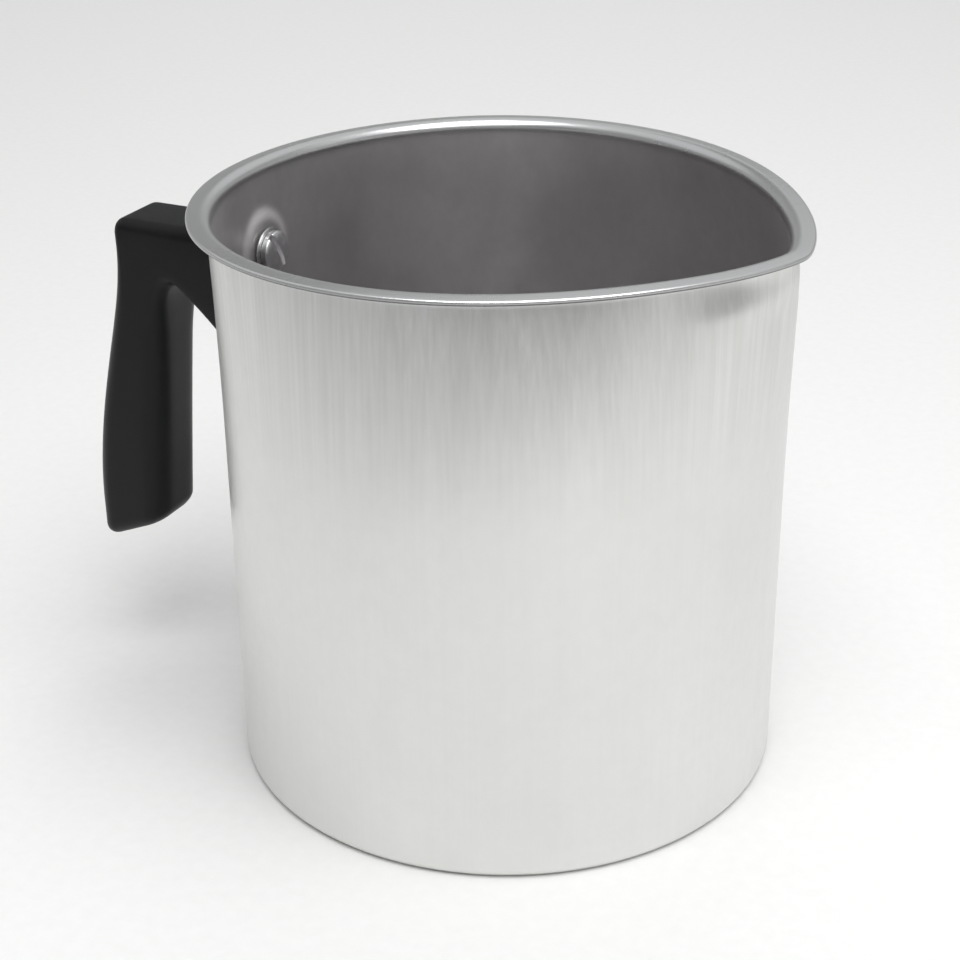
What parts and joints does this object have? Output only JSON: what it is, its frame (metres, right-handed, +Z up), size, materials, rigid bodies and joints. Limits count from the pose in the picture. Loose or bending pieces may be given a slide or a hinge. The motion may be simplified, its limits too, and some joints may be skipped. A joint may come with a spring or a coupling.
{
  "type": "candle melting pot",
  "caption": "Straight-sided aluminium wax melting and pouring pot with a turned-out rim lip, pinched pouring spout and a black screw-fixed side handle.",
  "frame": {"origin": "centre of the underside of the base", "axes": "+Z up along the pot's axis, -X towards the handle, so the pouring spout points nearly along +X, turned 6 degrees towards -Y as it is in the picture"},
  "size_m": [0.1812, 0.1328, 0.1334],
  "materials": {
    "drawn_aluminium": "satin, fine vertical draw marks outside, duller inside",
    "black_phenolic": "satin moulded",
    "plated_steel": "bright zinc plated",
    "washer_steel": "plain",
    "insert_brass": "turned"
  },
  "bodies": {
    "root": {"pot_shell": "drawn_aluminium", "handle": "black_phenolic", "handle_screw": "plated_steel", "screw_washer": "washer_steel", "threaded_insert": "insert_brass"}
  },
  "joints": []
}
